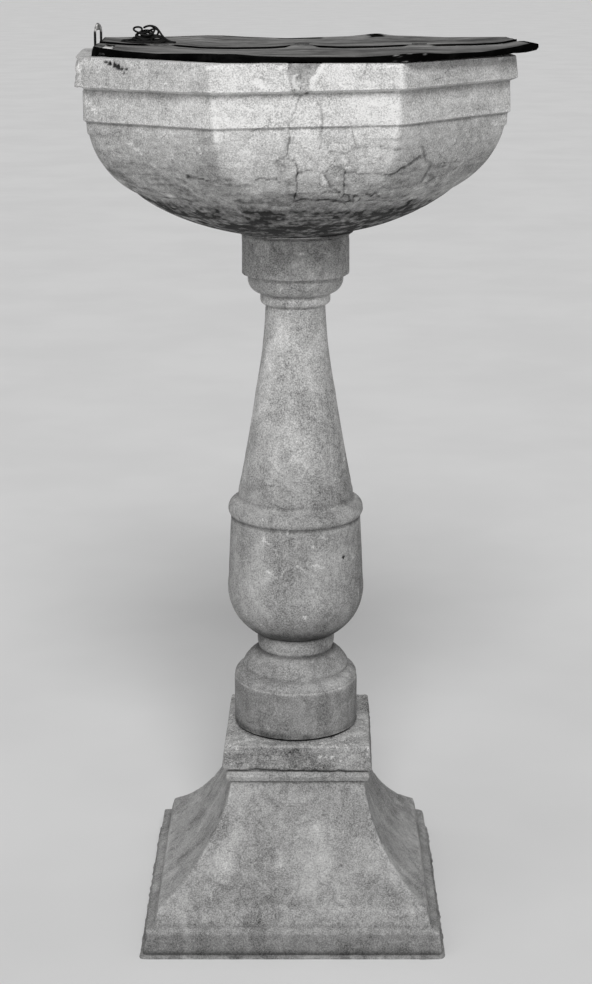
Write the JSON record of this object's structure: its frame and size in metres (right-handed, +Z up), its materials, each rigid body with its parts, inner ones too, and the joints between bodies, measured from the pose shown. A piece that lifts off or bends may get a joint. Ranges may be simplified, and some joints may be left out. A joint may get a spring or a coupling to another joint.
{
  "type": "baptismal font",
  "caption": "Octagonal stone bowl on a turned baluster and flared square base, with a hinged sheet-iron lid that lifts off and a padlock staple.",
  "frame": {"origin": "centre of the underside of the square foot, on the floor", "axes": "+Z up, -Y towards the front, +X to the viewer's right when facing the front; the lid's seam runs nearly along X"},
  "size_m": [0.5599, 0.538, 1.132],
  "materials": {
    "stone_bowl": "weathered, lightly worn smooth",
    "stone_shaft": "weathered, streaked",
    "stone_slab": "rough, stained",
    "stone_base": "weathered, chipped edges",
    "mortar": "rough",
    "repair_mortar": "rough trowelled",
    "iron": "forged",
    "lead": "dull",
    "worn_iron": "forged, worn bright on top",
    "sheet_iron": "dull black, dusty on top",
    "hinge_iron": "rubbed dull",
    "cord": "smooth black lace"
  },
  "bodies": {
    "root": {"floor_bed": "mortar", "base_block": "stone_base", "slab_bed": "mortar", "base_slab": "stone_slab", "shaft_bed": "mortar", "baluster_shaft": "stone_shaft", "bowl_bed": "mortar", "bowl": "stone_bowl", "rim_repair": "repair_mortar", "lower_dowel": "iron", "lower_dowel_lead": "lead", "upper_dowel": "iron", "upper_dowel_lead": "lead", "staple": "worn_iron", "staple_lead": "lead"},
    "lid_rear": {"lid_rear_leaf": "sheet_iron", "rivets_rear": "hinge_iron", "lid_cord": "cord", "hinge_left_rear": "hinge_iron", "hinge_left_pin": "hinge_iron", "hinge_middle_rear": "hinge_iron", "hinge_middle_pin": "hinge_iron", "hinge_right_rear": "hinge_iron", "hinge_right_pin": "hinge_iron"},
    "lid_front": {"lid_front_leaf": "sheet_iron", "rivets_front": "hinge_iron", "hinge_left_front": "hinge_iron", "hinge_middle_front": "hinge_iron", "hinge_right_front": "hinge_iron"}
  },
  "joints": [
    {"name": "lid_lift", "type": "slide", "parent": "root", "child": "lid_rear", "axis": [0, 0, 1], "range_m": [0, 0.15]},
    {"name": "lid_fold", "type": "hinge", "parent": "lid_rear", "child": "lid_front", "pos_m": [0.0205, 0, 1.1064], "axis": [-0.9995, -0.0332, 0], "range_deg": [0, 110]}
  ]
}
